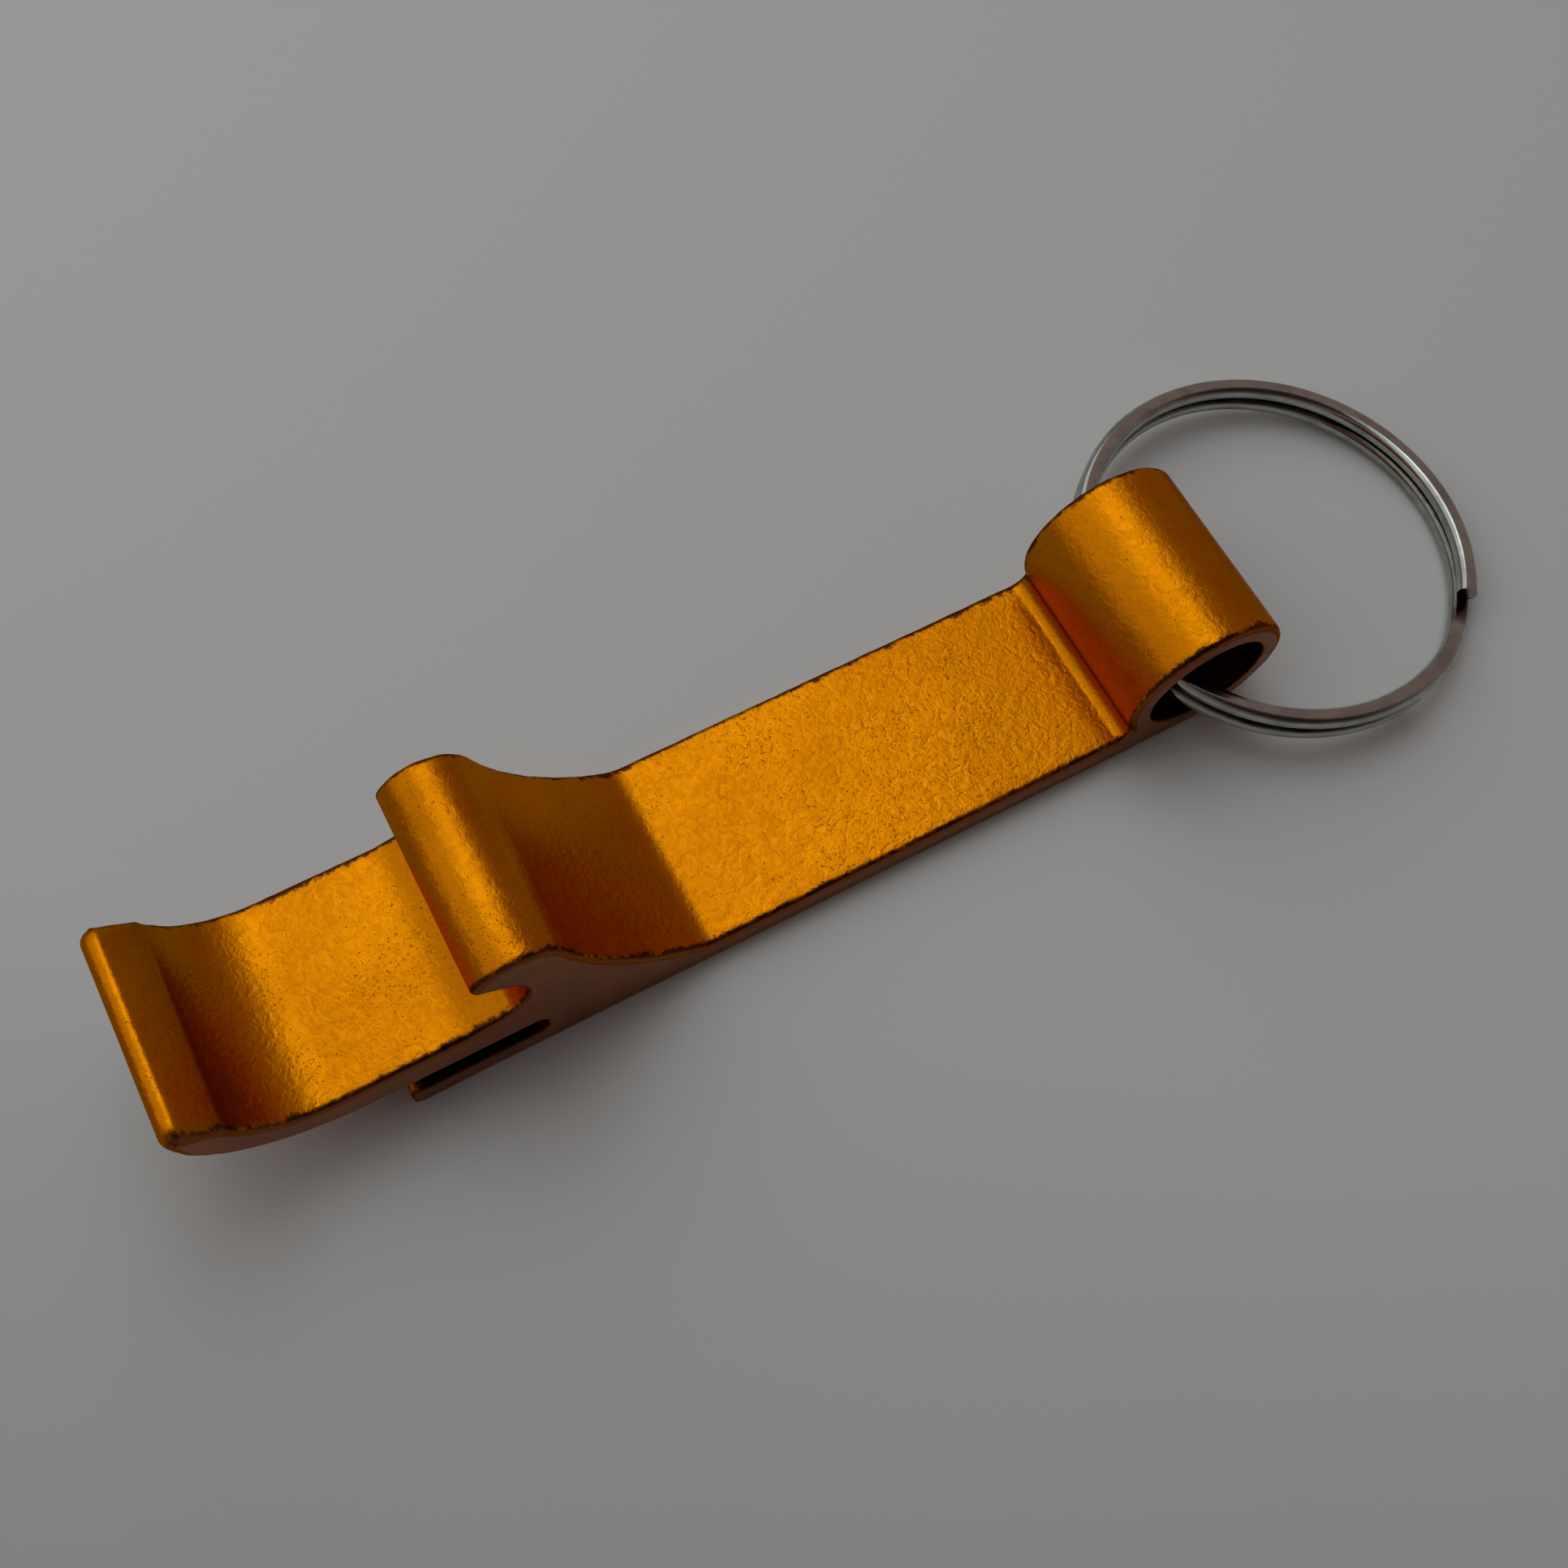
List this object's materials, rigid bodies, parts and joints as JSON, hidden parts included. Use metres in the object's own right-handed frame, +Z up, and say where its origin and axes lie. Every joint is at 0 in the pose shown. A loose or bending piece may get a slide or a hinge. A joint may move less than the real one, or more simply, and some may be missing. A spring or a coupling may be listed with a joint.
{
  "type": "keychain bottle opener",
  "caption": "Flat metal keychain bottle opener with a hooked nose, an upturned cap lip, a can tab tongue and a split ring through its rolled eye.",
  "frame": {"origin": "middle of the body's flat underside, half way between the tongue's end and the eye's axis", "axes": "+X along the body towards the ring, +Y across it, +Z up from the underside"},
  "size_m": [0.0827, 0.025, 0.0136],
  "materials": {
    "anodised_aluminium": "satin orange-gold anodising over a bead-blasted, tumbled surface",
    "nickel_steel": "bright nickel plating, faintly tarnished between the coils"
  },
  "bodies": {
    "opener": {"opener_body": "anodised_aluminium"},
    "ring": {"split_ring": "nickel_steel"}
  },
  "joints": [
    {"name": "ring_swing", "type": "hinge", "parent": "opener", "child": "ring", "pos_m": [0.02445, 0, 0.005], "axis": [0, -1, 0], "range_deg": [-150, 190]}
  ]
}
